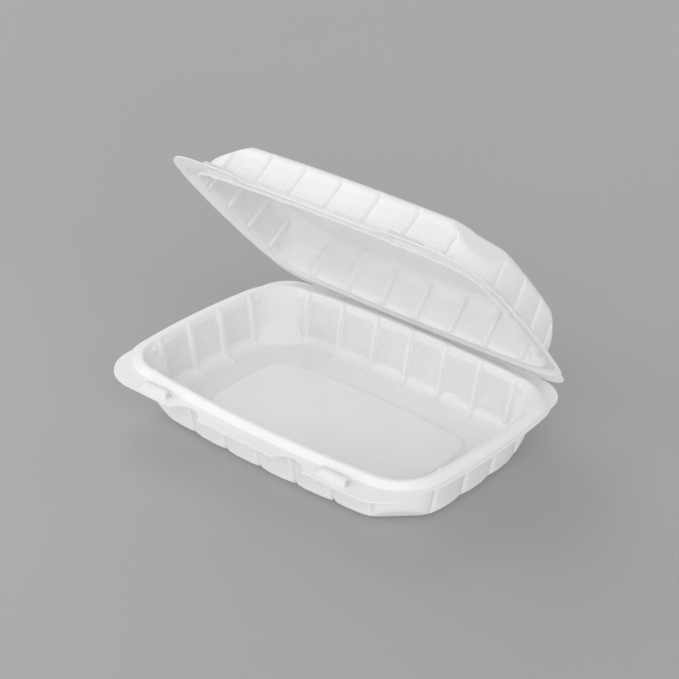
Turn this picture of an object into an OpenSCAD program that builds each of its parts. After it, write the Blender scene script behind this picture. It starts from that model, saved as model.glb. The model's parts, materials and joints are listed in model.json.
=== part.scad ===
// Hinged clamshell takeout container: one thermoformed sheet folded along the back edge.
// Millimetres, +Z up, +X along the fold, +Y towards the fold, origin on the ground under the tray's centre.

/* [Sheet] */
// Thickness of the formed sheet
sheet = 0.6; // [0.5:0.05:0.9]
// Free space between the closed lid and the tray's rim
gap = 0.3; // [0.25:0.05:0.5]

/* [Tray] */
// Length of the opening inside the rim, across the middle
rim_l = 209; // [190:1:240]
// Width of the opening inside the rim, across the middle
rim_w = 139; // [125:1:160]
// Corner radius of the opening
corner_r = 24; // [20:1:28]
// Height of the rim above the ground
tray_h = 34; // [28:0.5:46]
// Slope of the walls from upright, in degrees
draft = 10; // [7:0.5:14]
// Outside radius between wall and floor
base_r = 6; // [4:0.5:8]
// Depth of the flat cut across the foot of each corner
facet_cut = 3.1; // [2:0.1:4]
// Height of the raised middle of the floor
pad_h = 1.6; // [0.8:0.1:3]
// Distance from the wall's foot to the raised middle of the floor
pad_inset = 21.5; // [16:0.5:26]

/* [Rim] */
// Height of the bead above the flange
bead_h = 3.5; // [3:0.1:4.5]
// Width of the bead at the flange
bead_w = 6; // [5.5:0.1:7]
// Slope of the bead's outer side from level, in degrees
bead_slope = 48; // [42:1:58]
// Radius of the bead's two upper edges
bead_r = 1.2; // [1:0.1:1.5]

/* [Ribs] */
// Distance between neighbouring ribs
rib_pitch = 25.8; // [22:0.1:26.5]
// Width of a rib's groove at the wall
rib_w = 3.2; // [2.4:0.1:4]
// Depth of a rib's groove
rib_d = 1.4; // [0.9:0.1:1.8]
// Distance from the last rib to the stacking lug beside it
lug_step = 5.2; // [4.8:0.1:6]
// Width of a stacking lug
lug_w = 4.4; // [3.6:0.1:4.6]
// Height of a stacking lug
lug_h = 6; // [4:0.5:8]

/* [Flange] */
// Distance from the rim to the flange's edge on the short sides
flange_w = 9; // [8.5:0.1:10.5]
// Distance from the tray's centre to the flange's front edge
front_y = 85; // [83:0.5:98]
// Distance the lid's front edge stays behind the tray's
lid_short = 2; // [0:0.5:3]
// Distance from the tray's centre to the fold
hinge_y = 78.6; // [77:0.1:92]
// Distance of each finger notch from the middle
notch_x = 37.5; // [30:0.5:42]
// Radius of each finger notch
notch_r = 12; // [9:0.5:12.5]

/* [Locks] */
// Distance of each lock bar from the middle
lock_x = 64.5; // [60:0.5:70]
// Distance of each lock bar's middle outside the rim
lock_out = 8.5; // [8.3:0.1:9]
// Length of a lock bar
lock_l = 19; // [14:0.5:22]
// Width of a lock bar
lock_w = 5.6; // [4.5:0.1:6.2]
// Height of a lock bar above the flange
lock_h = 2.4; // [1.6:0.1:3]

/* [Lid] */
// Height of the dome above the lid's flange
dome_h = 28; // [22:0.5:29]
// Outside radius along the dome's upper edge
dome_r = 7; // [5:0.5:9]
// Depth of the flat cut across each upper corner of the dome
dome_cut = 5; // [3:0.1:5]
// Slope of the dome's walls from upright, in degrees
dome_draft = 8; // [6:0.5:12]
// Free space between the lid's inner lip and the rim
lip_gap = 1; // [0.9:0.1:1.4]
// Depth of the lid's inner lip below the rim
lip_h = 1.8; // [1.5:0.1:2.2]
// Angle the lid stands open from closed, in degrees
lid_open = 47.4; // [0:0.2:180]

/* [Hidden] */
// Steps on a full turn of the small curves and of the long bowed sides
fine = 96;
wide = 720;
flange_z = tray_h - bead_h - sheet;
flange_top = flange_z + sheet;
axis_z = flange_top + gap / 2;
foot_r = gap + sheet + 0.3;
lip_r = 1.2;
inner_r = base_r - sheet;
rim_drop = lip_h + 0.5;
wall_run = (tray_h - base_r) * tan(draft);
fillet_d = -wall_run - inner_r / cos(draft);
sweep_d = bead_w + 2;
bead_top = bead_w - bead_h / tan(bead_slope);
bend = tan(bead_slope / 2);
lip_z = tray_h - lip_h;
dome_top = flange_top + gap + dome_h;
turn_d = -lip_gap - lip_r;
turn_z = lip_z + lip_r;
wall_d = turn_d - lip_r * cos(dome_draft);
wall_z = turn_z - lip_r * sin(dome_draft);
dome_inner = dome_r - sheet;
dome_cz = dome_top - dome_r;
dome_cd = wall_d - (dome_cz - wall_z) * tan(dome_draft) - dome_inner / cos(dome_draft);
facet_k = corner_r + fillet_d + base_r * (sqrt(2) - 1) - facet_cut * sqrt(2);
dome_k = corner_r + dome_cd + dome_cz - dome_top + (dome_r - dome_cut) * sqrt(2);

// A bowed, rounded rectangle. Each side is an arc that turns by the same small angle, whose sine and cosine are
// bow[0] / bow[2] and bow[1] / bow[2], so corner centres and joints fall on round numbers.
// [half length, half width, long radius, short radius, corner radius, corner centre, end angles, long and short step]
bow = [19, 180, 181];

function path(hl, hw, r) =
    let (n = bow[0] * bow[0] - 1)
    let (u = round((bow[0] * (hl - r) - hw + r) / n * 100) / 100, v = round((bow[0] * (hw - r) - hl + r) / n * 100) / 100)
    [
        r + bow[0] * u + v, r + bow[0] * v + u, r + bow[2] * u, r + bow[2] * v, r, bow[0] * [u, v],
        atan2(bow[1], bow[0]), atan2(bow[0], bow[1]), u, v
    ];

rim = path(rim_l / 2, rim_w / 2, corner_r);
pad = path(rim_l / 2 + fillet_d - pad_inset, rim_w / 2 + fillet_d - pad_inset, 12);

// The last rib on each side of the middle: one stands in the middle of a long side, none in the middle of a short one
last_long = floor((rim[2] * rim[7] * PI / 180 - rib_w) / rib_pitch);
last_short = floor((rim[3] * rim[7] * PI / 180 - rib_w) / rib_pitch + 0.5) - 0.5;

function arc(c, r, a0, a1, by = 30) =
    let (n = max(1, ceil(abs(a1 - a0) / by)))
    [for (i = [0:n]) c + r * [cos(a0 + (a1 - a0) * i / n), sin(a0 + (a1 - a0) * i / n)]];

// Points along the path p grown by d, for the sheets that fill it
function quarter(p, d) = concat(
    arc([p[0] - p[3], 0], p[3] + d, 0, p[7], p[7] / 3),
    arc(p[5], p[4] + d, p[7], p[6], 10),
    arc([0, p[1] - p[2]], p[2] + d, p[6], 90, (90 - p[6]) / 3));

function loop(p, d) =
    let (q = quarter(p, d), n = len(q))
    concat(
        q,
        [for (i = [n - 2:-1:0]) [-q[i][0], q[i][1]]],
        [for (i = [1:n - 1]) -q[i]],
        [for (i = [n - 2:-1:1]) [q[i][0], -q[i][1]]]);

function back(list) = [for (i = [len(list) - 1:-1:0]) list[i]];

// The tray's section from floor to flange; o = 0 is the upper face and o = sheet the lower one
function tray_line(o) = concat(
    [[fillet_d - 6, sheet - o]],
    arc([fillet_d, base_r], inner_r + o, -90, -draft, 16),
    arc([bead_r / cos(draft) - bead_r * tan(draft), tray_h - bead_r], bead_r - o, 180 - draft, 90),
    arc([bead_top - bead_r * bend, tray_h - bead_r], bead_r - o, 90, 90 - bead_slope),
    arc([bead_w + foot_r * bend, flange_top + foot_r], foot_r + o, 270 - bead_slope, 270),
    [[sweep_d, flange_top - o]]);

// The lid's section, closed, from flange to dome; o = 0 is the lower face and o = sheet the upper one
function lid_line(o) = concat(
    [[sweep_d, flange_top + gap + o]],
    arc([bead_w + foot_r * bend, flange_top + foot_r], foot_r - gap - o, 270, 270 - bead_slope),
    arc([bead_top - bead_r * bend, tray_h - bead_r], bead_r + gap + o, 90 - bead_slope, 90),
    arc([0.8 - lip_gap, tray_h + gap - 0.8], 0.8 + o, 90, 180),
    arc([turn_d, turn_z], lip_r - o, 0, dome_draft - 180),
    arc([dome_cd, dome_cz], dome_inner + o, dome_draft, 90, 16),
    [[dome_cd - 6, dome_top - sheet + o]]);

// Runs a section round the path p: two long arcs, two short ones and four corners, each cut off at its joints
module sweep(p) {
    for (turn = [0, 180])
        rotate(turn) {
            intersection() {
                translate([0, p[1] - p[2], 0])
                    rotate_extrude(angle = 20, start = 80, $fn = wide)
                        translate([p[2], 0])
                            children();
                wedge([0, p[1] - p[2]], 1.5 * p[8] * [bow[0], bow[1]], 1.5 * p[8] * [-bow[0], bow[1]]);
            }
            intersection() {
                translate([p[0] - p[3], 0, 0])
                    rotate_extrude(angle = 20, start = -10, $fn = wide)
                        translate([p[3], 0])
                            children();
                wedge([p[0] - p[3], 0], 1.5 * p[9] * [bow[1], -bow[0]], 1.5 * p[9] * [bow[1], bow[0]]);
            }
            corner_sweep(p)
                children();
            mirror([1, 0, 0])
                corner_sweep(p)
                    children();
        }
}

module wedge(tip, one, other) {
    translate([0, 0, -10])
        linear_extrude(150)
            polygon([tip, tip + one, tip + one + other, tip + other]);
}

module corner_turn(p) {
    translate(p[5])
        rotate_extrude(angle = 90, $fn = fine)
            translate([p[4], 0])
                children();
}

module corner_sweep(p) {
    intersection() {
        corner_turn(p)
            children();
        wedge(p[5], 0.4 * [bow[1], bow[0]], 0.4 * [bow[0], bow[1]]);
    }
}

// The area inside the path p grown by d
module area(p, d) {
    difference() {
        intersection() {
            for_side(p, d);
            square([2 * p[0] + 2 * d + 2, 2 * p[1] + 2 * d + 2], center = true);
        }
        for (sx = [-1, 1], sy = [-1, 1])
            scale_to(sx, sy)
                difference() {
                    polygon([p[5], p[5] + 0.5 * [bow[1], bow[0]], p[5] + [90, 90], p[5] + 0.5 * [bow[0], bow[1]]]);
                    translate(p[5])
                        circle(p[4] + d, $fn = fine);
                }
    }
}

module for_side(p, d) {
    intersection() {
        translate([0, p[1] - p[2]])
            circle(p[2] + d, $fn = wide);
        translate([0, p[2] - p[1]])
            circle(p[2] + d, $fn = wide);
        translate([p[0] - p[3], 0])
            circle(p[3] + d, $fn = wide);
        translate([p[3] - p[0], 0])
            circle(p[3] + d, $fn = wide);
    }
}

module scale_to(sx, sy) {
    mirror([sx < 0 ? 1 : 0, 0])
        mirror([0, sy < 0 ? 1 : 0])
            children();
}

// Puts children on the rim's line at rib number k of each long side and k of each short side, +Y pointing outwards
module on_long(s) {
    for (turn = [0, 180])
        rotate(turn)
            translate([0, rim[1] - rim[2], 0])
                rotate(-s / rim[2] * 180 / PI)
                    translate([0, rim[2], 0])
                        children();
}

module on_short(s) {
    for (turn = [0, 180])
        rotate(turn)
            translate([rim[0] - rim[3], 0, 0])
                rotate(s / rim[3] * 180 / PI - 90)
                    translate([0, rim[3], 0])
                        children();
}

module on_ribs() {
    for (k = [-last_long:last_long])
        on_long(k * rib_pitch)
            children();
    for (k = [-last_short:last_short])
        on_short(k * rib_pitch)
            children();
}

module on_lugs() {
    for (side = [-1, 1]) {
        on_long(side * (last_long * rib_pitch + lug_step))
            children();
        on_short(side * (last_short * rib_pitch + lug_step))
            children();
    }
}

// A rib's ridge and groove in the wall's own frame: y = 0 the inner face, z along the wall
function rib_side(w) = let (h = w * 0.34, l = norm([h, rib_d])) [sheet * rib_d / l, h / rib_d, sheet * h / l];

module ridge(w, z0, z1) {
    s = rib_side(w);
    x1 = w / 2 + s[0] + s[1] * (0.1 - sheet + s[2]);
    x2 = w / 2 + s[0] + s[1] * (-rib_d - sheet + s[2]);
    translate([0, 0, z0])
        linear_extrude(z1 - z0)
            polygon([[-x1, 0.1], [x1, 0.1], [x2, -rib_d], [-x2, -rib_d]]);
}

module groove(w, z0, z1) {
    s = rib_side(w);
    x1 = w / 2 + 0.5 * s[1];
    x2 = w / 2 - rib_d * s[1];
    translate([0, 0, z0])
        linear_extrude(z1 - z0)
            polygon([[-x1, sheet + 0.5], [x1, sheet + 0.5], [x2, sheet - rib_d], [-x2, sheet - rib_d]]);
}

module tray_wall() {
    translate([0, 0, tray_h])
        rotate([-draft, 0, 0])
            children();
}

module lid_wall() {
    translate([0, wall_d, wall_z])
        rotate([dome_draft, 0, 0])
            children();
}

// A sloped flat across the foot of each corner, and the space below it
module corner_frame() {
    for (sx = [-1, 1], sy = [-1, 1])
        mirror([sx < 0 ? 1 : 0, 0, 0])
            mirror([0, sy < 0 ? 1 : 0, 0])
                children();
}

module facet_slab(near, deep) {
    translate(rim[5])
        rotate((rim[6] + rim[7]) / 2)
            translate([facet_k, 0, 0])
                rotate([0, 45, 0])
                    translate([near, -24, -24])
                        cube([deep, 48, 48]);
}

module facets() {
    intersection() {
        corner_frame()
            facet_slab(-sheet, sheet);
        sweep(rim)
            polygon(concat([[-corner_r + 0.5, 0.02]], tray_wall_line(), [[-corner_r + 0.5, facet_z]]));
    }
}

facet_z = 17;

function tray_wall_line() = concat(
    arc([fillet_d, base_r], base_r - 0.05, -89, -draft, 16),
    [[(facet_z - tray_h) * tan(draft) + sheet * 0.9, facet_z]]);

// The same across each upper corner of the dome
module dome_slab(near, deep) {
    translate(rim[5])
        rotate((rim[6] + rim[7]) / 2)
            translate([dome_k, 0, dome_top])
                rotate([0, -45, 0])
                    translate([near, -24, -23])
                        cube([deep, 48, 40]);
}

module dome_facets() {
    intersection() {
        corner_frame()
            dome_slab(-sheet, sheet);
        sweep(rim)
            polygon(concat([[-corner_r + 0.5, dome_z]], dome_wall_line(), [[-corner_r + 0.5, dome_top - 0.02]]));
    }
}

dome_z = 40;

function dome_wall_line() = concat(
    [[wall_d - (dome_z - wall_z) * tan(dome_draft) + sheet * 0.9, dome_z]],
    arc([dome_cd, dome_cz], dome_r - 0.05, dome_draft, 89, 16));

// The flange's outline: bowed sides, square-ended back along the fold and wide front corners
module flange_outline() {
    area(rim, flange_w);
    back_strip();
    front_apron(front_y);
}

module back_strip() {
    x = rim_l / 2 - 18.5;
    y = hinge_y - gap - 22;
    for (side = [-1, 1])
        translate([side * x, y])
            circle(22, $fn = fine);
    translate([-x, 0])
        square([2 * x, hinge_y - gap]);
}

module front_apron(front) {
    x = rim_l / 2 - 24;
    for (side = [-1, 1])
        translate([side * x, 28 - front])
            circle(28, $fn = fine);
    translate([-x, -front])
        square([2 * x, front]);
}

module lock_bars(grow, top) {
    y = -rim_w / 2 - lock_out;
    for (side = [-1, 1])
        translate([side * lock_x, y, flange_z])
            rotate([90, 0, 90])
                linear_extrude(lock_l + 2 * grow, center = true)
                    polygon([
                        [-lock_w / 2 - grow, -2], [lock_w / 2 + grow, -2],
                        [lock_w / 2 + grow - 0.5, top], [-lock_w / 2 - grow + 0.5, top]
                    ]);
}

module tray_flange() {
    translate([0, 0, flange_z])
        linear_extrude(sheet)
            difference() {
                flange_outline();
                polygon(loop(rim, sweep_d - 0.7));
                for (side = [-1, 1])
                    translate([side * notch_x, -front_y + 7 - notch_r])
                        circle(notch_r, $fn = fine);
            }
}

module floor_sheet() {
    linear_extrude(sheet)
        difference() {
            polygon(loop(rim, fillet_d - 3));
            polygon(loop(pad, 4));
        }
    translate([0, 0, pad_h])
        linear_extrude(sheet)
            polygon(loop(pad, -3));
    sweep(pad)
        polygon([
            [-6, pad_h], [-6, pad_h + sheet], [0, pad_h + sheet], [2, sheet],
            [6, sheet], [6, 0], [1.7, 0], [-0.3, pad_h]
        ]);
}

module tray() {
    rib_top = -rim_drop / cos(draft);
    rib_foot = -(tray_h - base_r) / cos(draft) - 2.2;
    color([0.94, 0.94, 0.93]) {
        difference() {
            union() {
                difference() {
                    union() {
                        sweep(rim)
                            polygon(concat(tray_line(0), back(tray_line(sheet))));
                        on_ribs()
                            tray_wall()
                                ridge(rib_w, rib_foot, rib_top);
                    }
                    corner_frame()
                        facet_slab(0, 20);
                }
                facets();
                tray_flange();
                intersection() {
                    lock_bars(0, lock_h + sheet);
                    translate([-rim_l, -rim_w, flange_z])
                        cube([2 * rim_l, rim_w, dome_h]);
                }
                on_lugs()
                    tray_wall()
                        ridge(lug_w, rib_top - lug_h, rib_top);
            }
            on_ribs()
                tray_wall()
                    groove(rib_w, rib_foot + 0.7, rib_top - sheet);
            on_lugs()
                tray_wall()
                    groove(lug_w, rib_top - lug_h + sheet, rib_top - sheet);
            lock_bars(-sheet, lock_h);
        }
        floor_sheet();
    }
}

module lid_flange() {
    recess = lock_x - lock_l / 2 - 12;
    translate([0, 0, flange_top + gap])
        linear_extrude(sheet)
            difference() {
                union() {
                    area(rim, flange_w);
                    back_strip();
                    difference() {
                        front_apron(front_y - lid_short);
                        polygon([
                            [-recess - 9, -front_y - 1], [recess + 9, -front_y - 1], [recess, -front_y + 8],
                            [recess, 0], [-recess, 0], [-recess, -front_y + 8]
                        ]);
                    }
                }
                polygon(loop(rim, sweep_d - 0.7));
            }
}

module lid_closed() {
    rise = (dome_cz - wall_z) / cos(dome_draft);
    difference() {
        union() {
            difference() {
                union() {
                    sweep(rim)
                        polygon(concat(lid_line(0), back(lid_line(sheet))));
                    on_ribs()
                        lid_wall()
                            ridge(rib_w, 0.3, rise + 1.8);
                    translate([0, 0, dome_top - sheet])
                        linear_extrude(sheet)
                            polygon(loop(rim, dome_cd - 3));
                }
                corner_frame()
                    dome_slab(0, 20);
            }
            dome_facets();
            lid_flange();
            intersection() {
                translate([0, 0, sheet + gap])
                    lock_bars(gap + sheet, lock_h + sheet);
                translate([-rim_l, -rim_w, flange_top + gap])
                    cube([2 * rim_l, rim_w, dome_h]);
            }
            on_lugs()
                lid_wall()
                    ridge(lug_w, 0.3, lug_h);
        }
        on_ribs()
            lid_wall()
                groove(rib_w, 1, rise + 1.2);
        on_lugs()
            lid_wall()
                groove(lug_w, 1, lug_h - sheet);
        translate([0, 0, gap])
            lock_bars(gap, lock_h + sheet);
    }
}

module lid() {
    color([0.94, 0.94, 0.93])
        translate([0, hinge_y, axis_z])
            rotate([-lid_open, 0, 0])
                translate([0, -hinge_y, -axis_z])
                    lid_closed();
}

tray();
lid();
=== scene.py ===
"""White hinged takeout container with ribbed walls, its lid standing half open."""
import json
import math

import bmesh
import bpy
from mathutils import Matrix, Vector


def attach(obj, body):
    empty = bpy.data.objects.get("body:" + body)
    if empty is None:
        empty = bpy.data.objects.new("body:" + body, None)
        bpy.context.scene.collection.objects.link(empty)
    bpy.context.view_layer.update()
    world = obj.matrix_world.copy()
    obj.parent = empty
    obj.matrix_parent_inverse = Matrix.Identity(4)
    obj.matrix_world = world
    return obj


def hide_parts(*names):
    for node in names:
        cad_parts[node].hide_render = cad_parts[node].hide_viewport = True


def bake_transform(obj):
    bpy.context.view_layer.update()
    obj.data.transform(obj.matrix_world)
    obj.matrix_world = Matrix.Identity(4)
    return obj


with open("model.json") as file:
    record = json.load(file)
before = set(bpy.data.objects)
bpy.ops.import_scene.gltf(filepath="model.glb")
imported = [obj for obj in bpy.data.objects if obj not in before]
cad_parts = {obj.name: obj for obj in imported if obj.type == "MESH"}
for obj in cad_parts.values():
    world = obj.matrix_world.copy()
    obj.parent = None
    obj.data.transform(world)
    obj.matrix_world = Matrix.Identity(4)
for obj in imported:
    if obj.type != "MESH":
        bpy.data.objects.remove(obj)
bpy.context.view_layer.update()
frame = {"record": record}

bl_info = {
    "name": "Clamshell Takeout Container",
    "version": (1, 0, 0),
    "blender": (4, 5, 0),
    "location": "View3D > Sidebar > Container",
    "description": "Forms a ribbed tray and its hinged lid from one white sheet",
    "category": "Object",
}

MM = 0.001
FOLD = frame["record"]["behaviour"]["joints"][0]
ROOT2 = math.sqrt(2)

# Rows of the section as shares of a straight, and columns of the rim round a rib, a lug and a lock bar's end.
FLANGE_SHARES = (0.03, 0.075, 0.2, 0.34, 0.46, 0.52, 0.76, 0.97, 1.0)
TRAY_WALL_SHARES = (0.07, 0.18, 0.3, 0.42, 0.54, 0.66, 0.76, 0.84, 0.88, 0.92, 0.96, 1)
LID_WALL_SHARES = (0.06, 0.16, 0.28, 0.4, 0.52, 0.64, 0.76, 0.86, 0.92, 0.96, 1)
RIB_COLUMNS_MM = (-3.2, -2.1, -1.65, -1.2, -0.75, -0.35, 0, 0.35, 0.75, 1.2, 1.65, 2.1, 3.2)
PANEL_COLUMNS = (0.22, 0.33, 0.42, 0.5, 0.58, 0.67, 0.78, -0.22, -0.33, -0.42, -0.5)
LUG_COLUMNS = (-1.2, -0.85, -0.5, 0, 0.5, 0.85, 1.2)
BAR_END_COLUMNS_MM = (-0.7, 0, 0.35, 0.8)
LONG_RIBS = (-3, -2, -1, 0, 1, 2, 3)
SHORT_RIBS = (-1.5, -0.5, 0.5, 1.5)
CORNER_STEPS = 14
NOTCH_STEPS = 8
LEAST_STEP = 0.22 * MM

# Corners of the flange's outline, the lid's recess between its locks, and small turns of the section.
BACK_INSET, BACK_R = 18.5 * MM, 22 * MM
FRONT_INSET, FRONT_R = 24 * MM, 28 * MM
RECESS_INSET, RECESS_EASE = 13 * MM, 10 * MM
BAR_SIDE = 0.6 * MM
CHANNEL_R = 0.8 * MM
RIB_SIDE = 0.8 * MM

# The strip along the fold: its ends, its lap onto both flanges and its steps along the fold.
WEB_INSET, WEB_LAP, WEB_STEPS = 19 * MM, 0.5 * MM, 60

# The stage: lamps as name, strength, spread in degrees and direction, and the camera.
SHEET_IOR = 1.49
SKY_STRENGTH = 0.55
GROUND_HALF = 6.0
LAMPS = (
    ("front_card", 1.62, 110, (0.635, -0.773, 0.06)),
    ("high_card", 0.26, 40, (0.55, -0.68, 0.62)),
    ("side_card", 0.54, 26, (-0.92, -0.66, 0.42)),
    ("window", 0.50, 40, (-0.9, 0.30, 0.8)),
)
IMAGE = 679
SENSOR = 36
FOCAL_PIXELS = 1702.946
CAMERA_TURNS = (39.381, 28.915, 1.565)
CAMERA_DISTANCE = 950.113 * MM
AIM_SIDE, AIM_UP = 1.263 * MM, 55.782 * MM


# ---------------------------------------------------------------- settings

def length(name, mm, text):
    return bpy.props.FloatProperty(name=name, description=text, default=mm * MM, unit="LENGTH", precision=5)


def slope(name, degrees, text):
    return bpy.props.FloatProperty(name=name, description=text, default=math.radians(degrees),
                                   subtype="ANGLE")


def amount(name, value, text):
    return bpy.props.FloatProperty(name=name, description=text, default=value, min=0.0)


def tint(name, rgb, text):
    return bpy.props.FloatVectorProperty(name=name, description=text, default=rgb, size=3,
                                         min=0.0, max=1.0, subtype="COLOR")


class ContainerSizes(bpy.types.PropertyGroup):
    """Sizes of the formed sheet"""

    sheet: length("Sheet", 0.6, "Thickness of the formed sheet")
    gap: length("Closing gap", 0.3, "Free space between the closed lid and the tray")
    rim_l: length("Rim length", 209, "Length of the opening inside the rim")
    rim_w: length("Rim width", 139, "Width of the opening inside the rim")
    corner_r: length("Corner radius", 24, "Corner radius of the opening")
    tray_h: length("Tray height", 34, "Height of the rim above the ground")
    draft: slope("Tray draft", 10, "Slope of the tray's walls from upright")
    base_r: length("Base radius", 6, "Outside radius between wall and floor")
    facet_cut: length("Corner flat", 5.2, "How deep the flat at a corner's foot cuts into its rounded edge")
    flat_ease: length("Corner flat easing", 1.6, "Half width of the rounding along a corner flat's edges")
    pad_h: length("Floor panel height", 1.6, "Rise of the middle of the floor")
    pad_inset: length("Floor panel inset", 21.5, "Distance from the wall's foot to the floor panel")
    pad_r: length("Floor panel corner", 12, "Corner radius of the floor panel")
    bead_h: length("Bead height", 3.5, "Height of the bead above the flange")
    bead_w: length("Bead width", 6, "Width of the bead at the flange")
    bead_slope: slope("Bead slope", 48, "Slope of the bead's outer side from level")
    bead_r: length("Bead radius", 1.2, "Radius of the bead's upper edges")
    rib_pitch: length("Rib pitch", 25.8, "Distance between neighbouring ribs")
    rib_w: length("Rib width", 3.2, "Width of a rib's groove at the wall")
    rib_d: length("Rib depth", 1.7, "Depth of a rib's groove")
    pillow: length("Panel swell", 0.9, "How far a panel swells between two ribs")
    lug_step: length("Lug step", 5.2, "Distance from the last rib to the stacking lug")
    lug_w: length("Lug width", 3.8, "Width of a stacking lug")
    lug_h: length("Lug height", 4.2, "Height of a stacking lug")
    flange_w: length("Flange width", 9, "Distance from the rim to the flange's edge on the short sides")
    lid_short: length("Lid set-back", 2, "How far the lid's front edge stays behind the tray's")
    front_y: length("Front edge", 85, "Distance from the centre to the flange's front edge")
    notch_x: length("Notch place", 37.5, "Distance of each finger notch from the middle")
    notch_r: length("Notch radius", 12, "Radius of each finger notch")
    notch_in: length("Notch depth", 7, "How far a finger notch cuts into the front edge")
    lock_x: length("Lock place", 64.5, "Distance of each lock bar from the middle")
    lock_out: length("Lock offset", 8.5, "Distance of each lock bar outside the rim")
    lock_l: length("Lock length", 19, "Length of a lock bar")
    lock_w: length("Lock width", 5.6, "Width of a lock bar")
    lock_h: length("Lock height", 2.4, "Height of a lock bar above the flange")
    dome_h: length("Dome height", 28, "Height of the dome above the lid's flange")
    dome_r: length("Dome radius", 7, "Outside radius along the dome's upper edge")
    dome_cut: length("Dome corner flat", 6.5,
                     "How deep the flat at a dome's corner cuts into its rounded edge")
    dome_draft: slope("Dome draft", 8, "Slope of the dome's walls from upright")
    lip_gap: length("Lip gap", 1, "Space between the lid's inner lip and the rim")
    lip_h: length("Lip depth", 2.5, "Depth of the lid's inner lip below the rim")
    lip_dent: length("Lip dent", 0.95, "How far the lid's lip is dented in over each tooth of the rim")
    lip_r: length("Lip radius", 1.2, "Radius of the turn below the lid's inner lip")
    web_t: length("Fold thickness", 0.3, "Thickness of the sheet where it is pressed thin along the fold")
    lid_open: slope("Lid opening", 47.4, "Angle the lid stands open from closed")


class ContainerFinish(bpy.types.PropertyGroup):
    """Colours and finish of the sheet and of the stage"""

    white: tint("Sheet white", (0.90, 0.90, 0.894), "Main colour of the sheet")
    milky: tint("Sheet cloud", (0.875, 0.877, 0.875), "Colour of the faint clouds in the sheet")
    satin: amount("Roughness", 0.42, "Mean roughness of the sheet")
    dot_pitch: length("Dot pitch", 1.5, "Distance between two embossed dots")
    dot_depth: length("Dot depth", 0.25, "Height of the embossed dots")
    card: tint("Floor card", (0.90, 0.90, 0.90), "Colour with which the floor returns light to the object")
    ground: tint("Ground", (0.42, 0.42, 0.421), "Colour of the floor as it is seen")


def sizes():
    return bpy.context.scene.container_sizes


def finish():
    return bpy.context.scene.container_finish


# ---------------------------------------------------------------- plan of the rim

class RimLine:
    """A bowed rectangle with round corners, run anticlockwise from the lower end of its right side."""

    BOW = (19, 180, 181)

    def __init__(self, half_l, half_w, radius):
        low, high, long = self.BOW
        share = low * low - 1
        u = round((low * (half_l - radius) - half_w + radius) / share, 5)
        v = round((low * (half_w - radius) - half_l + radius) / share, 5)
        a, b = radius + low * u + v, radius + low * v + u
        big, small = radius + long * u, radius + long * v
        x, y = low * u, low * v
        wide, slim = math.atan2(high, low), math.atan2(low, high)
        pi = math.pi
        self.long_r = big
        self.corner = (x, y)
        self.arcs = [
            (a - small, 0, small, -slim, slim),
            (x, y, radius, slim, wide),
            (0, b - big, big, wide, pi - wide),
            (-x, y, radius, pi - wide, pi - slim),
            (small - a, 0, small, pi - slim, pi + slim),
            (-x, -y, radius, pi + slim, pi + wide),
            (0, big - b, big, pi + wide, 2 * pi - wide),
            (x, -y, radius, 2 * pi - wide, 2 * pi - slim),
        ]
        self.starts = [0.0]
        for arc in self.arcs:
            self.starts.append(self.starts[-1] + arc[2] * (arc[4] - arc[3]))

    def middle(self, i):
        return (self.starts[i] + self.starts[i + 1]) / 2

    def place(self, run):
        """The arc and the angle at a length along the line."""
        for i, arc in enumerate(self.arcs):
            if run <= self.starts[i + 1] + 1e-9 or i == 7:
                return i, arc[3] + (run - self.starts[i]) / arc[2]

    def point(self, i, angle, out):
        x, y, radius = self.arcs[i][:3]
        return Vector((x + (radius + out) * math.cos(angle), y + (radius + out) * math.sin(angle)))


def smooth(low, high, value):
    t = min(1.0, max(0.0, (value - low) / (high - low)))
    return t * t * (3 - 2 * t)


def between(start, full, ease, end, value):
    """1 from full to ease, easing to 0 at start and at end."""
    return smooth(start, full, value) * (1 - smooth(ease, end, value))


def on_arc(centre, radius, degrees):
    angle = math.radians(degrees)
    return centre[0] + radius * math.cos(angle), centre[1] + radius * math.sin(angle)


def bend(centre, radius, start, end, steps, kind):
    """Rows along an arc of the section, angles in degrees, without its first point."""
    return [(kind, *on_arc(centre, radius, start + (end - start) * n / steps)) for n in range(1, steps + 1)]


def straight(begin, end, shares, kind):
    return [(kind, begin[0] + (end[0] - begin[0]) * t, begin[1] + (end[1] - begin[1]) * t) for t in shares]


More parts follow.
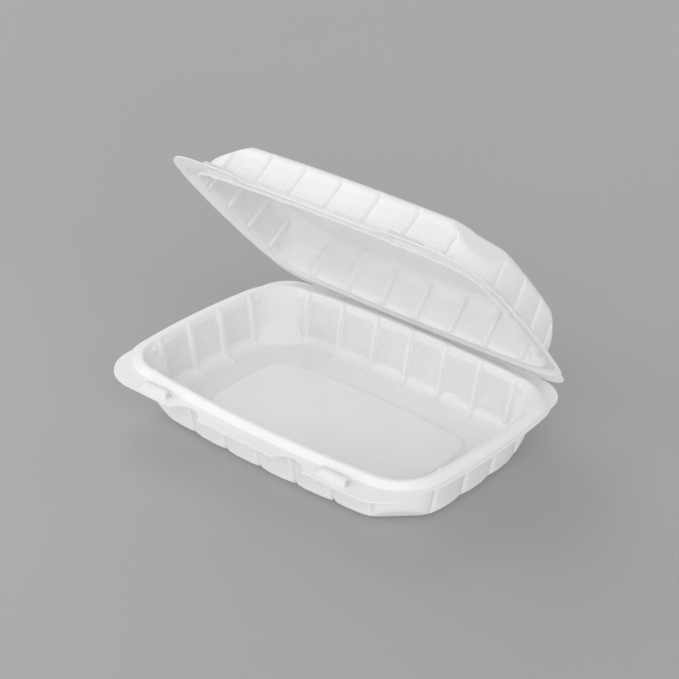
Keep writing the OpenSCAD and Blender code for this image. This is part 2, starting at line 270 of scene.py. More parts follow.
class Plan:
    """Derived sizes that the tray and the lid share."""

    def __init__(self, s):
        self.s = s
        self.rim = RimLine(s.rim_l / 2, s.rim_w / 2, s.corner_r)
        self.flange_top = s.tray_h - s.bead_h
        self.wall_run = (s.tray_h - s.base_r) * math.tan(s.draft)
        self.inner_r = s.base_r - s.sheet
        self.fillet_d = -self.wall_run - self.inner_r / math.cos(s.draft)
        self.foot_r = s.gap + s.sheet + 0.3 * MM
        self.bend = math.tan(s.bead_slope / 2)
        self.bead_top = s.bead_w - s.bead_h / math.tan(s.bead_slope)
        self.foot_d = s.bead_w + self.foot_r * self.bend
        pad_half = self.fillet_d - s.pad_inset
        self.pad = RimLine(s.rim_l / 2 + pad_half, s.rim_w / 2 + pad_half, s.pad_r)
        self.dome_top = self.flange_top + s.gap + s.dome_h
        self.turn_d = -s.lip_gap - s.lip_r
        self.turn_z = s.tray_h - s.lip_h + s.lip_r
        self.wall_d = self.turn_d - s.lip_r * math.cos(s.dome_draft)
        self.wall_z = self.turn_z - s.lip_r * math.sin(s.dome_draft)
        self.dome_cz = self.dome_top - s.dome_r
        self.dome_cd = (self.wall_d - (self.dome_cz - self.wall_z) * math.tan(s.dome_draft)
                        - (s.dome_r - s.sheet) / math.cos(s.dome_draft))
        self.lock_y = -s.rim_w / 2 - s.lock_out
        self.recess = s.lock_x - s.lock_l / 2 - RECESS_INSET
        self.ribs, self.lugs = [], []
        for arcs, places in (((2, 6), LONG_RIBS), ((0, 4), SHORT_RIBS)):
            for middle in (self.rim.middle(i) for i in arcs):
                self.ribs += [middle + k * s.rib_pitch for k in places]
                self.lugs += [middle + k * (places[-1] * s.rib_pitch + s.lug_step) for k in (-1, 1)]

    def front_run(self, x, out):
        """Length along the rim of the front column that meets x at a distance outside the rim."""
        big = self.rim.long_r
        return self.rim.middle(6) + big * math.asin(x / (big + out))

    def columns(self, bar_grow, notched):
        """Lengths along the rim at which the section is set, close together where the sheet changes."""
        s, rim = self.s, self.rim
        runs = list(rim.starts)
        for rib in self.ribs:
            runs += [rib + k * MM for k in RIB_COLUMNS_MM]
            runs += [rib + s.rib_pitch * k for k in PANEL_COLUMNS]
        for lug in self.lugs:
            runs += [lug + k * s.lug_w / 2 for k in LUG_COLUMNS]
        for i in (1, 3, 5, 7):
            turn = rim.starts[i + 1] - rim.starts[i]
            runs += [rim.starts[i] + turn * n / CORNER_STEPS for n in range(1, CORNER_STEPS)]
        half, bar_out = s.lock_l / 2 + bar_grow, s.lock_out + 2 * MM
        edge_out = s.front_y - s.rim_w / 2
        for side in (-1, 1):
            for end in (-1, 1):
                runs += [self.front_run(side * s.lock_x + end * (half - k * MM), bar_out)
                         for k in BAR_END_COLUMNS_MM]
            if notched:
                wide = math.sqrt(s.notch_r ** 2 - (s.notch_r - s.notch_in) ** 2)
                steps = [wide * math.sin(math.pi / 2 * n / NOTCH_STEPS)
                         for n in range(-NOTCH_STEPS, NOTCH_STEPS + 1)]
                steps += [edge * (wide + 0.25 * MM) for edge in (-1, 1)]
                runs += [self.front_run(side * s.notch_x + x, edge_out) for x in steps]
            else:
                runs += [self.front_run(side * (self.recess + k * MM), edge_out) for k in range(-1, 12)]
        runs = sorted(r for r in runs if 0 <= r <= rim.starts[8])
        kept = [runs[0]]
        for run in runs[1:]:
            if run - kept[-1] > LEAST_STEP:
                kept.append(run)
        kept[-1] = rim.starts[8]
        return kept

    def nearest(self, run, places):
        return min(abs(run - p) for p in places)

    def lock_rise(self, x, y, grow):
        """Height of a lock bar over the flange at a point."""
        s = self.s
        along = s.lock_l / 2 + grow - abs(abs(x) - s.lock_x)
        across = s.lock_w / 2 + grow - abs(y - self.lock_y)
        return s.lock_h * min(smooth(0, BAR_SIDE, along), smooth(0, BAR_SIDE, across))

    def reach(self, foot, out, lid):
        """Distance from a point of the rim line to the flange's edge along the outward direction."""
        s = self.s
        far = s.flange_w

        def leave(cx, cy, radius):
            """Distances at which the ray leaves and enters a circle, or None."""
            px, py = foot.x - cx, foot.y - cy
            b = px * out.x + py * out.y
            c = px * px + py * py - radius * radius
            if b * b < c:
                return None
            return -b + math.sqrt(b * b - c), -b - math.sqrt(b * b - c)

        back_y = FOLD["pos_m"][1] - s.gap
        back_x, front_x = s.rim_l / 2 - BACK_INSET, s.rim_l / 2 - FRONT_INSET
        front_y = s.front_y - (s.lid_short if lid else 0)
        if out.y > 0:
            t = (back_y - foot.y) / out.y
            if abs(foot.x + out.x * t) <= back_x:
                far = max(far, t)
            for side in (-1, 1):
                hit = leave(side * back_x, back_y - BACK_R, BACK_R)
                if hit and side * foot.x > 0:
                    far = max(far, hit[0])
        if out.y < 0:
            apron = s.flange_w
            t = (-front_y - foot.y) / out.y
            if abs(foot.x + out.x * t) <= front_x:
                apron = max(apron, t)
            for side in (-1, 1):
                hit = leave(side * front_x, FRONT_R - front_y, FRONT_R)
                if hit and side * foot.x > 0:
                    apron = max(apron, hit[0])
            if lid:
                full = smooth(self.recess, self.recess + RECESS_EASE, abs(foot.x))
                apron = s.flange_w + (apron - s.flange_w) * full
            far = max(far, apron)
            if not lid:
                for side in (-1, 1):
                    hit = leave(side * s.notch_x, -s.front_y + s.notch_in - s.notch_r, s.notch_r)
                    if hit and hit[1] > 0:
                        far = min(far, hit[1])
        return far

    def tray_rows(self):
        """The tray's section along its upper face, from the floor panel out to the flange."""
        s = self.s
        slant, pad_top = math.degrees(s.draft), s.pad_h + s.sheet
        rows = [("pad", -9 * MM, pad_top), ("pad", -1.5 * MM, pad_top)]
        for n in range(0, 7):
            t = n / 6
            rows.append(("pad", (-0.5 + 3.2 * t) * MM, pad_top - s.pad_h * smooth(0, 1, t)))
        rows += [("floor", self.fillet_d - k * MM, s.sheet) for k in (7, 5, 3.5, 2.2, 1, 0)]
        rows += bend((self.fillet_d, s.base_r), self.inner_r, -90, -slant, 8, "wall")
        lip = (s.bead_r / math.cos(s.draft) - s.bead_r * math.tan(s.draft), s.tray_h - s.bead_r)
        head = (lip[0] - s.bead_r * math.cos(s.draft), lip[1] + s.bead_r * math.sin(s.draft))
        rows += straight(rows[-1][1:], head, TRAY_WALL_SHARES, "wall")
        rows += bend(lip, s.bead_r, 180 - slant, 90, 6, "bead")
        tilt = math.degrees(s.bead_slope)
        crest = (self.bead_top - s.bead_r * self.bend, s.tray_h - s.bead_r)
        rows += [("bead", crest[0], s.tray_h)]
        rows += bend(crest, s.bead_r, 90, 90 - tilt, 4, "bead")
        foot = (self.foot_d, self.flange_top + self.foot_r)
        rows += straight(rows[-1][1:], on_arc(foot, self.foot_r, 270 - tilt), (0.5, 1), "bead")
        rows += bend(foot, self.foot_r, 270 - tilt, 270, 4, "bead")
        return rows + [("flange", share, self.flange_top) for share in FLANGE_SHARES]

    def lid_rows(self):
        """The closed lid's section along its upper face, from the dome's top out to the flange."""
        s = self.s
        slant, tilt = math.degrees(s.dome_draft), math.degrees(s.bead_slope)
        rows = [("top", self.dome_cd - 9 * MM, self.dome_top), ("top", self.dome_cd - 3 * MM, self.dome_top),
                ("top", self.dome_cd, self.dome_top)]
        rows += bend((self.dome_cd, self.dome_cz), s.dome_r, 90, slant, 9, "wall")
        turn_r = s.lip_r - s.sheet
        low = (self.turn_d - turn_r * math.cos(s.dome_draft), self.turn_z - turn_r * math.sin(s.dome_draft))
        rows += straight(rows[-1][1:], low, LID_WALL_SHARES, "wall")
        rows += bend((self.turn_d, self.turn_z), turn_r, slant - 180, 0, 7, "bead")
        lip = (CHANNEL_R - s.lip_gap, s.tray_h + s.gap - CHANNEL_R)
        rows += [("bead", lip[0] - CHANNEL_R - s.sheet, lip[1])]
        rows += bend(lip, CHANNEL_R + s.sheet, 180, 90, 5, "bead")
        crest = (self.bead_top - s.bead_r * self.bend, s.tray_h - s.bead_r)
        over = s.bead_r + s.gap + s.sheet
        rows += [("bead", crest[0], crest[1] + over)]
        rows += bend(crest, over, 90, 90 - tilt, 5, "bead")
        foot, foot_r = (self.foot_d, self.flange_top + self.foot_r), self.foot_r - s.gap - s.sheet
        rows += straight(rows[-1][1:], on_arc(foot, foot_r, 270 - tilt), (0.5, 1), "bead")
        rows += bend(foot, foot_r, 270 - tilt, 270, 3, "bead")
        return rows + [("flange", share, self.flange_top + s.gap + s.sheet) for share in FLANGE_SHARES]


# ---------------------------------------------------------------- forming

class FormedSheet:
    """Sweeps a section round the rim with spins, then presses ribs, lugs, panels and locks into it."""

    def __init__(self, plan, rows, lid):
        self.plan, self.s, self.lid = plan, plan.s, lid
        self.rows = rows
        self.grow = self.s.gap + self.s.sheet if lid else 0.0
        self.runs = plan.columns(self.grow, not lid)
        self.bm = bmesh.new()
        self.guide = self.bm.verts.layers.float_vector.new("sheet_guide")
        self.row = self.bm.verts.layers.int.new("row")
        self.along = [0.0]
        for one, two in zip(rows, rows[1:]):
            step = math.hypot(two[1] - one[1], two[2] - one[2]) if one[0] == two[0] != "flange" else 1 * MM
            self.along.append(self.along[-1] + step)

    def sweep(self):
        """One column of vertices, spun from station to station round the eight arcs."""
        rim, bm = self.plan.rim, self.bm
        column = []
        for n, (kind, out, z) in enumerate(self.rows):
            if kind == "flange":
                out = self.plan.foot_d + out * 2 * MM
            spot = rim.point(0, rim.arcs[0][3], out)
            vert = bm.verts.new((spot.x, spot.y, z))
            vert[self.row] = n
            column.append(vert)
        edges = [bm.edges.new(pair) for pair in zip(column, column[1:])]
        self.stations = [(column, self.runs[0]) + rim.place(self.runs[0])]
        for run in self.runs[1:]:
            i, angle = rim.place(run)
            before = self.stations[-1]
            centre = rim.arcs[i]
            turned = angle - (before[3] if before[2] == i else centre[3])
            spun = bmesh.ops.spin(bm, geom=column + edges, cent=(centre[0], centre[1], 0), axis=(0, 0, 1),
                                  angle=turned, steps=1, use_duplicate=False)["geom_last"]
            column = sorted((g for g in spun if isinstance(g, bmesh.types.BMVert)), key=lambda v: v[self.row])
            edges = [g for g in spun if isinstance(g, bmesh.types.BMEdge)]
            self.stations.append((column, run, i, angle))

    def slants(self):
        """The upper face's direction in the section at each row, as (outward, up)."""
        found = []
        for n, row in enumerate(self.rows):
            one = self.rows[max(0, n - 1)]
            two = self.rows[min(len(self.rows) - 1, n + 1)]
            if row[0] in ("pad", "floor", "flange", "top") or one[0] == "pad" or two[0] == "flange":
                found.append((0.0, 1.0))
                continue
            d, z = two[1] - one[1], two[2] - one[2]
            size = math.hypot(d, z)
            found.append((-z / size, d / size))
        return found

    def rib_height(self, row):
        """Share of a rib's depth at a row: full on the wall, easing out at both ends."""
        kind, d, z = row
        plan, s = self.plan, self.s
        if self.lid:
            if kind == "bead" and d < 0.2 * MM:
                return 1 - smooth(s.tray_h - 0.2 * MM, s.tray_h + 0.8 * MM, z)
            return 1 - smooth(plan.dome_cz + 1.5 * MM, plan.dome_cz + 6 * MM, z) if kind == "wall" else 0.0
        if kind == "floor":
            return 0.8 * smooth(plan.fillet_d - 3.2 * MM, plan.fillet_d - 0.2 * MM, d)
        if kind == "wall" or (kind == "bead" and d < 1 * MM):
            low = 1 - 0.2 * (1 - smooth(0.2 * s.base_r, 1.2 * s.base_r, z))
            tooth = 1 - 0.42 * smooth(s.tray_h - s.lip_h - 2.2 * MM, s.tray_h - s.lip_h - 0.5 * MM, z)
            return low * tooth * (1 - smooth(s.tray_h - 0.9 * MM, s.tray_h, z))
        return 0.0

    def lug_height(self, row):
        """Share of a lug's depth at a row, just below the rim."""
        kind, _, z = row
        if kind != "wall":
            return 0.0
        plan, s = self.plan, self.s
        if self.lid:
            low, top = plan.wall_z, plan.wall_z + s.lug_h
            return between(low + 0.2 * MM, low + 1.2 * MM, top - 1.2 * MM, top, z)
        top = s.tray_h - s.lip_h - 0.5 * MM
        low = top - s.lug_h
        return between(low - 0.4 * MM, low + 1.2 * MM, top - 1.1 * MM, top + 0.4 * MM, z)

    def swell(self, row):
        """Share of a panel's swell at a row."""
        kind, _, z = row
        if kind != "wall":
            return 0.0
        plan, s = self.plan, self.s
        if self.lid:
            return between(plan.wall_z + 1 * MM, plan.wall_z + 8 * MM,
                           plan.dome_cz - 4 * MM, plan.dome_cz + 5 * MM, z)
        return 1 - smooth(s.tray_h - 14 * MM, s.tray_h - 4 * MM, z)

    def emboss(self, row):
        """Where the wall carries the dotted emboss."""
        kind, _, z = row
        if kind != "wall":
            return 0.0
        plan, s = self.plan, self.s
        if self.lid:
            return 0.6 if plan.wall_z + 2.5 * MM < z < plan.dome_cz - 0.5 * MM else 0.0
        return 1.0 if s.base_r - 0.6 * MM < z < s.tray_h - s.lip_h - 2 * MM else 0.0

    def past_flat(self, kind, spot, z):
        """How far a point lies beyond the flat across its corner, negative inside it."""
        plan, s = self.plan, self.s
        if kind not in (("top", "wall") if self.lid else ("floor", "wall")):
            return -1.0
        x, y = plan.rim.corner
        reach = (abs(spot.x) - x + abs(spot.y) - y) / ROOT2
        if self.lid:
            past = (reach + z - s.corner_r - plan.dome_cd - plan.dome_cz) / ROOT2
            return past - s.dome_r + s.dome_cut
        edge = s.corner_r + plan.fillet_d + s.base_r * (ROOT2 - 1)
        return (reach - z - edge) / ROOT2 + s.facet_cut + s.sheet

    def flatten(self, kind, spot, z):
        """Brings a point back to its corner's flat, eased along the flat's edges."""
        ease = self.s.flat_ease
        cut = self.past_flat(kind, spot, z)
        if cut > -ease:
            if cut < ease:
                cut = (cut + ease) ** 2 / (4 * ease)
            spot = spot - Vector((math.copysign(cut / 2, spot.x), math.copysign(cut / 2, spot.y)))
            z += cut / ROOT2 * (-1 if self.lid else 1)
        return spot, z

    def press(self):
        """Moves each vertex to its place on the ribbed, lugged and locked sheet."""
        plan, s, rim = self.plan, self.s, self.plan.rim
        slants = self.slants()
        rib_share = [self.rib_height(r) for r in self.rows]
        lug_share = [self.lug_height(r) for r in self.rows]
        swell_share = [self.swell(r) for r in self.rows]
        dots = [self.emboss(r) for r in self.rows]
        sign = -1 if self.lid else 1
        side_w = s.sheet * s.rib_d / math.hypot(0.34 * s.rib_w, s.rib_d)
        rib_wide = s.rib_w / 2 + (0 if self.lid else 0.75 * side_w)
        rib_flat = rib_wide - RIB_SIDE
        lug_wide = s.lug_w / 2 + (0 if self.lid else 0.3 * MM)
        base = self.rows[-1][2]
        for column, run, i, angle in self.stations:
            out = Vector((math.cos(angle), math.sin(angle)))
            near_rib, near_lug = plan.nearest(run, plan.ribs), plan.nearest(run, plan.lugs)
            rib = s.rib_d * (1 - smooth(rib_flat, rib_wide, near_rib))
            lip_rib = s.lip_dent * (1 - smooth(2.1 * MM, 3.2 * MM, near_rib))
            lug = s.rib_d * (1 - smooth(lug_wide - 1.3 * MM, lug_wide, near_lug))
            on_panel = i % 2 == 0 and near_rib < s.rib_pitch / 2 + 0.1 * MM and near_lug > s.lug_w
            panel = smooth(rib_wide, rib_wide + 6.5 * MM, near_rib) if on_panel else 0.0
            dotted = 1.0 if on_panel and near_rib > 2.6 * MM else 0.0
            foot = rim.point(i, angle, 0)
            edge = plan.reach(foot, out, self.lid)
            for n, vert in enumerate(column):
                kind, d, z = self.rows[n]
                if kind == "pad":
                    spot = plan.pad.point(i, angle, d)
                elif kind == "flange":
                    spot = rim.point(i, angle, plan.foot_d + (edge - plan.foot_d) * d)
                    spot = self.beside_lock(spot, n, foot, out, edge)
                else:
                    spot = rim.point(i, angle, d)
                fade = 1 - smooth(-1.6 * MM, 1.2 * MM, self.past_flat(kind, spot, z))
                dent = lip_rib if self.lid and kind == "bead" else rib
                push = sign * fade * max(dent * rib_share[n], lug * lug_share[n])
                swell = s.pillow * panel * fade * swell_share[n]
                side, up = (1.0, 0.0) if self.lid and kind == "bead" else slants[n]
                spot = spot + out * (side * push + abs(side) * swell)
                spot, z = self.flatten(kind, spot, z + up * push)
                if kind == "flange" or (kind == "bead" and d > s.bead_w * 0.5):
                    z = max(z, base + plan.lock_rise(spot.x, spot.y, self.grow))
                vert.co = (spot.x, spot.y, z)
                vert[self.guide] = (run, self.along[n], dots[n] * dotted)

    def beside_lock(self, spot, n, foot, out, edge):
        """Draws the flange's rows in to the long edges of a lock bar, so that these stay crisp."""
        plan, s = self.plan, self.s
        beside = s.lock_l / 2 + self.grow - abs(abs(foot.x + out.x * s.lock_out) - s.lock_x)
        if out.y > -0.9 or beside < -0.8 * MM:
            return spot
        half = s.lock_w / 2 + self.grow
        inner, outer = -plan.lock_y - half, -plan.lock_y + half
        first = len(self.rows) - len(FLANGE_SHARES)
        depth = (inner, inner + BAR_SIDE, inner + half * 0.7, outer - half * 0.7, outer - BAR_SIDE, outer)
        if n - first < len(depth):
            least = -(foot.y + out.y * (plan.foot_d + 0.02 * MM * (n - first + 1)))
            t = (-max(depth[n - first], least) - foot.y) / out.y
            return foot + out * t
        last = (-outer - foot.y) / out.y
        share = (0.5, 0.94, 1.0)[n - first - len(depth)]
        return foot + out * (last + (edge - last) * share)

    def bar_end(self, spot):
        """Whether a point lies on the open end of a hollow lock bar."""
        plan, s = self.plan, self.s
        past = abs(abs(spot.x) - s.lock_x) - s.lock_l / 2
        inside = s.lock_w / 2 - 0.5 * MM - abs(spot.y - plan.lock_y)
        rise = spot.z - plan.flange_top
        return -0.75 * MM < past < 0.1 * MM and inside > 0 and 0.3 * MM < rise < s.lock_h * 0.97

    def close(self):
        """Joins the seam, fills the middle, opens the lock bars' ends and turns every face up."""
        bm = self.bm
        ring = [column[0] for column, *_ in self.stations]
        bmesh.ops.remove_doubles(bm, verts=bm.verts, dist=0.002 * MM)
        loop = dict.fromkeys(e for v in ring if v.is_valid for e in v.link_edges
                             if e.is_boundary and all(w[self.row] == 0 for w in e.verts))
        bmesh.ops.edgeloop_fill(bm, edges=list(loop))
        if not self.lid:
            ends = [f for f in bm.faces if self.bar_end(f.calc_center_median())]
            bmesh.ops.delete(bm, geom=ends, context="FACES")
        bmesh.ops.recalc_face_normals(bm, faces=bm.faces)
        cap = max(bm.faces, key=lambda f: len(f.verts))
        if cap.normal.z < 0:
            bmesh.ops.reverse_faces(bm, faces=bm.faces)
        for face in bm.faces:
            face.smooth = True

    def form(self):
        self.sweep()
        self.press()
        self.close()
        return self.bm


def new_piece(name, bm):
    mesh = bpy.data.meshes.new(name)
    bm.to_mesh(mesh)
    bm.free()
    piece = bpy.data.objects.new(name, mesh)
    bpy.context.scene.collection.objects.link(piece)
    return piece


def thicken(piece, thickness):
    """Gives the sheet its thickness below the modelled face."""
    solid = piece.modifiers.new("sheet", "SOLIDIFY")
    solid.thickness = thickness
    solid.offset = -1
    solid.use_quality_normals = True


def lid_turn():
    """The turn about the fold from closed to the opening shown."""
    pivot = Vector(FOLD["pos_m"])
    turn = Matrix.Rotation(sizes().lid_open, 4, Vector(FOLD["axis"]))
    return Matrix.Translation(pivot) @ turn @ Matrix.Translation(-pivot)


# ---------------------------------------------------------------- finishes

class Wire:
    """A shader socket that takes part in Python arithmetic."""

    def __init__(self, tree, socket):
        self.tree, self.socket = tree, socket

    def node(self, kind, settings=None, sockets=None, output=0):
        """Adds any node: its settings first, then the values or wires of its sockets."""
        node = self.tree.nodes.new(kind)
        for name, value in (settings or {}).items():
            setattr(node, name, value)
        for name, value in (sockets or {}).items():
            if isinstance(value, Wire):
                self.tree.links.new(value.socket, node.inputs[name])
            else:
                node.inputs[name].default_value = value
        return Wire(self.tree, node.outputs[output])

    def math(self, operation, *values):
        return self.node("ShaderNodeMath", {"operation": operation}, dict(enumerate(values)))

    def __add__(self, other):
        return self.math("ADD", self, other)

    __radd__ = __add__

    def __sub__(self, other):
        return self.math("SUBTRACT", self, other)

    def __rsub__(self, other):
        return self.math("SUBTRACT", other, self)

    def __mul__(self, other):
        return self.math("MULTIPLY", self, other)

    __rmul__ = __mul__

    def __truediv__(self, other):
        return self.math("DIVIDE", self, other)

    def __rtruediv__(self, other):
        return self.math("DIVIDE", other, self)

    def __mod__(self, other):
        return self.math("FLOORED_MODULO", self, other)

    def __rmod__(self, other):
        return self.math("FLOORED_MODULO", other, self)

    def __pow__(self, other):
        return self.math("POWER", self, other)

    def __rpow__(self, other):
        return self.math("POWER", other, self)

    def ease(self, low, high):
        """0 at low, 1 at high, easing between."""
        return self.node("ShaderNodeMapRange", {"interpolation_type": "SMOOTHSTEP"},
                         {"Value": self, "From Min": low, "From Max": high})

    def blend(self, one, two):
        """A colour between two, with this wire as the share of the second."""
        return self.node("ShaderNodeMix", {"data_type": "RGBA"}, {0: self, 6: one, 7: two}, output=2)


def open_material(name):
    """A new material with its shader, and the wire of its Object coordinates."""
    material = bpy.data.materials.get(name) or bpy.data.materials.new(name)
    material.use_nodes = True
    tree = material.node_tree
    tree.nodes.clear()
    surface = tree.nodes.new("ShaderNodeBsdfPrincipled")
    output = tree.nodes.new("ShaderNodeOutputMaterial")
    tree.links.new(surface.outputs[0], output.inputs[0])
    coords = tree.nodes.new("ShaderNodeTexCoord")
    return material, surface, Wire(tree, coords.outputs["Object"])


def feed(surface, name, wire):
    wire.tree.links.new(wire.socket, surface.inputs[name])


def noise(place, scale, detail=2.0):
    return place.node("ShaderNodeTexNoise", None, {"Vector": place, "Scale": scale, "Detail": detail})


def white_sheet():
    """Satin white sheet: faint clouds, a fine grain and the dotted emboss on the wall panels."""
    look = finish()
    material, surface, place = open_material("white_sheet_finish")
    guide = place.node("ShaderNodeAttribute", {"attribute_name": "sheet_guide"}, output="Vector")
    split = place.node("ShaderNodeSeparateXYZ", None, {0: guide}).socket.node
    run, along, mask = (Wire(place.tree, out) for out in split.outputs)
    level = along / (look.dot_pitch * 0.87)
    layer = level.math("FLOOR", level)
    across = (run / look.dot_pitch + 0.5 * (layer % 2.0)) % 1.0 - 0.5
    down = level % 1.0 - 0.5
    dot = 1.0 - ((across * across + down * down * 0.76) ** 0.5).ease(0.14, 0.44)
    clouds = noise(place, 42.0, 3.0)
    grain = noise(place, 2600.0, 1.0)
    ripple = noise(place, 95.0, 2.0)
    height = dot * mask + 0.12 * grain + 0.8 * ripple
    bump = place.node("ShaderNodeBump", None, {"Strength": 1.0, "Distance": look.dot_depth, "Height": height})
    feed(surface, "Normal", bump)
    feed(surface, "Base Color", clouds.ease(0.3, 0.75).blend((*look.white, 1), (*look.milky, 1)))
    feed(surface, "Roughness", look.satin + 0.10 * (clouds - 0.5) + 0.06 * (grain - 0.5))
    surface.inputs["IOR"].default_value = SHEET_IOR
    return material


def pressed_fold():
    """The thin pressed strip along the fold: the same white, smoother, with fine creases along it."""
    look = finish()
    material, surface, place = open_material("pressed_fold_finish")
    wide = place.node("ShaderNodeMapping", None, {"Vector": place, "Scale": (30.0, 2500.0, 2500.0)})
    crease = noise(wide, 1.0, 2.0)
    bump = place.node("ShaderNodeBump", None, {"Strength": 0.3, "Distance": 0.05 * MM, "Height": crease})
    feed(surface, "Normal", bump)
    feed(surface, "Base Color", crease.ease(0.3, 0.7).blend((*look.white, 1), (*look.milky, 1)))
    feed(surface, "Roughness", look.satin - 0.08 + 0.1 * (crease - 0.5))
    surface.inputs["IOR"].default_value = SHEET_IOR
    return material


def ground_finish():
    """Studio surface of low gloss, grey as it is seen and a pale card in the light it returns."""
    look = finish()
    material, surface, place = open_material("ground_finish")
    cloud = noise(place, 3.0, 3.0)
    shade = tuple(c * 0.985 for c in look.ground)
    rays = place.node("ShaderNodeLightPath").socket.node.outputs
    seen = place.math("MAXIMUM", *(Wire(place.tree, rays[name]) for name in ("Is Camera Ray", "Is Glossy Ray")))
    tone = cloud.ease(0.3, 0.7).blend((*look.ground, 1), (*shade, 1))
    feed(surface, "Base Color", seen.blend((*look.card, 1), tone))
    feed(surface, "Roughness", 0.30 + 0.06 * (cloud - 0.5))
    surface.inputs["Specular IOR Level"].default_value = 0.22
    return material


# ---------------------------------------------------------------- operators

class FORM_OT_tray(bpy.types.Operator):
    """Form the ribbed tray with its floor panel, bead, flange, notches and lock bars"""

    bl_idname = "container.form_tray"
    bl_label = "Form Tray"

    def execute(self, context):
        plan = Plan(sizes())
        piece = new_piece("tray_sheet", FormedSheet(plan, plan.tray_rows(), False).form())
        thicken(piece, sizes().sheet)
        piece.data.materials.append(white_sheet())
        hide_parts("tray")
        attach(piece, "tray")
        return {"FINISHED"}


class FORM_OT_lid(bpy.types.Operator):
    """Form the ribbed lid closed, then turn it open about the fold"""

    bl_idname = "container.form_lid"
    bl_label = "Form Lid"

    def execute(self, context):
        plan = Plan(sizes())
        bm = FormedSheet(plan, plan.lid_rows(), True).form()
        bmesh.ops.transform(bm, matrix=lid_turn(), verts=bm.verts)
        piece = new_piece("lid_sheet", bm)
        thicken(piece, sizes().sheet)
        piece.data.materials.append(white_sheet())
        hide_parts("lid")
        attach(piece, "lid")
        return {"FINISHED"}


class FORM_OT_fold(bpy.types.Operator):
    """Form the thin strip of sheet that joins the tray and the lid along the fold"""

    bl_idname = "container.form_fold"
    bl_label = "Form Fold"

    def execute(self, context):
        s = sizes()
        pivot = Vector(FOLD["pos_m"])
        half = s.rim_l / 2 - WEB_INSET
        edge_y = pivot.y - s.gap
        low = Vector((0, edge_y, pivot.z - s.gap / 2 - s.sheet / 2))
        high = lid_turn() @ Vector((0, edge_y, pivot.z + s.gap / 2 + s.sheet / 2))
        low_in = low + Vector((0, -WEB_LAP, 0))
        high_in = lid_turn() @ Vector((0, edge_y - WEB_LAP, pivot.z + s.gap / 2 + s.sheet / 2))
        bulge = (low + high) / 2 + Vector((0, 0.18 * MM, -0.08 * MM))
        bm = bmesh.new()
        line = [low_in, low, (low * 2 + bulge) / 3 + Vector((0, 0.05 * MM, 0)), bulge,
                (high * 2 + bulge) / 3 + Vector((0, 0.05 * MM, 0)), high, high_in]
        verts = [bm.verts.new((-half, p.y, p.z)) for p in line]
        edges = [bm.edges.new(pair) for pair in zip(verts, verts[1:])]
        for _ in range(WEB_STEPS):
            grown = bmesh.ops.extrude_edge_only(bm, edges=edges)["geom"]
            edges = [g for g in grown if isinstance(g, bmesh.types.BMEdge)
                     and all(v in grown for v in g.verts)]
            moved = [g for g in grown if isinstance(g, bmesh.types.BMVert)]
            bmesh.ops.translate(bm, verts=moved, vec=(2 * half / WEB_STEPS, 0, 0))
        bmesh.ops.recalc_face_normals(bm, faces=bm.faces)
        bmesh.ops.solidify(bm, geom=list(bm.faces), thickness=s.web_t)
        bmesh.ops.recalc_face_normals(bm, faces=bm.faces)
        for face in bm.faces:
            face.smooth = True
        piece = new_piece("fold_web", bm)
        piece.data.materials.append(pressed_fold())
        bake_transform(piece)
        return {"FINISHED"}


def set_light(scene):
    """An even white sky and four soft lamps."""
    world = bpy.data.worlds.new("studio")
    world.use_nodes = True
    sky = world.node_tree.nodes["Background"]
    sky.inputs["Color"].default_value = (1.0, 1.0, 1.0, 1)
    sky.inputs["Strength"].default_value = SKY_STRENGTH
    scene.world = world
    for name, energy, spread, towards in LAMPS:
        sun = bpy.data.lights.new(name, "SUN")
        sun.energy = energy
        sun.angle = math.radians(spread)
        lamp = bpy.data.objects.new(name, sun)
        scene.collection.objects.link(lamp)
        lamp.rotation_euler = Vector(towards).to_track_quat("Z", "Y").to_euler()


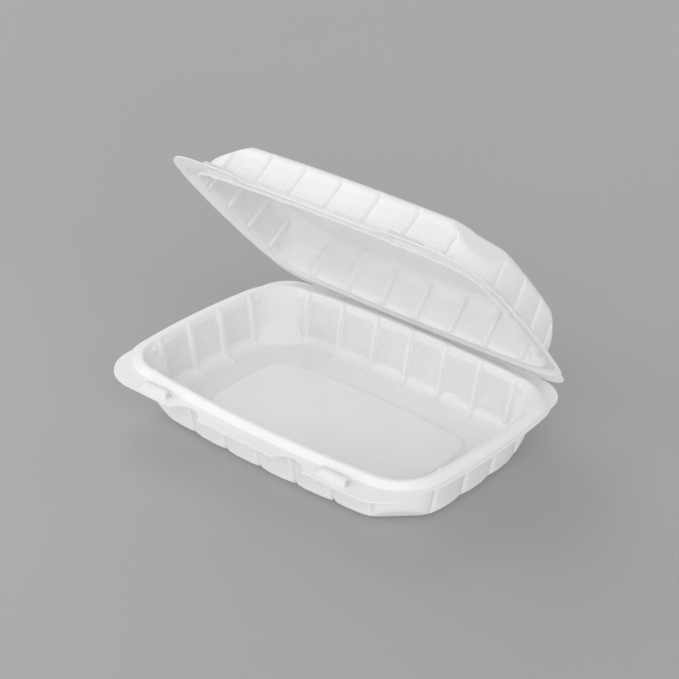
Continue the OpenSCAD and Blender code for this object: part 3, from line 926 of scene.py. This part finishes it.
def set_camera(scene):
    """The camera from its turns round the object, its distance and the point it looks at."""
    az, el, roll = (math.radians(a) for a in CAMERA_TURNS)
    back = Vector((math.sin(az) * math.cos(el), -math.cos(az) * math.cos(el), math.sin(el)))
    right = Vector((math.cos(az), math.sin(az), 0))
    up = back.cross(right)
    right, up = math.cos(roll) * right + math.sin(roll) * up, math.cos(roll) * up - math.sin(roll) * right
    aim = Vector((AIM_SIDE * math.cos(az), AIM_SIDE * math.sin(az), AIM_UP))
    data = bpy.data.cameras.new("view")
    data.sensor_width = SENSOR
    data.lens = FOCAL_PIXELS / IMAGE * SENSOR
    data.clip_start, data.clip_end = 0.01, 100
    camera = bpy.data.objects.new("view", data)
    scene.collection.objects.link(camera)
    turn = Matrix((right, up, back)).transposed().to_4x4()
    camera.matrix_world = Matrix.Translation(aim + back * CAMERA_DISTANCE) @ turn
    scene.camera = camera


class FORM_OT_stage(bpy.types.Operator):
    """Set the floor, the soft light and the camera"""

    bl_idname = "container.set_stage"
    bl_label = "Set Stage"

    def execute(self, context):
        bm = bmesh.new()
        bmesh.ops.create_grid(bm, x_segments=1, y_segments=1, size=GROUND_HALF)
        ground = new_piece("ground", bm)
        ground.data.materials.append(ground_finish())
        set_light(context.scene)
        set_camera(context.scene)
        context.scene.view_settings.view_transform = "Standard"
        return {"FINISHED"}


class FORM_PT_container(bpy.types.Panel):
    """Sizes, finish and steps of the container"""

    bl_label = "Container"
    bl_space_type = "VIEW_3D"
    bl_region_type = "UI"
    bl_category = "Container"

    def draw(self, context):
        for kind in OPERATORS:
            self.layout.operator(kind.bl_idname)
        for group in (sizes(), finish()):
            box = self.layout.box()
            for name in group.__annotations__:
                box.prop(group, name)


OPERATORS = (FORM_OT_tray, FORM_OT_lid, FORM_OT_fold, FORM_OT_stage)
CLASSES = (ContainerSizes, ContainerFinish) + OPERATORS + (FORM_PT_container,)


def register():
    for kind in CLASSES:
        bpy.utils.register_class(kind)
    bpy.types.Scene.container_sizes = bpy.props.PointerProperty(type=ContainerSizes)
    bpy.types.Scene.container_finish = bpy.props.PointerProperty(type=ContainerFinish)


def unregister():
    del bpy.types.Scene.container_sizes
    del bpy.types.Scene.container_finish
    for kind in reversed(CLASSES):
        bpy.utils.unregister_class(kind)


def main():
    register()
    bpy.ops.container.form_tray()
    bpy.ops.container.form_lid()
    bpy.ops.container.form_fold()
    bpy.ops.container.set_stage()


if __name__ == "__main__":
    main()
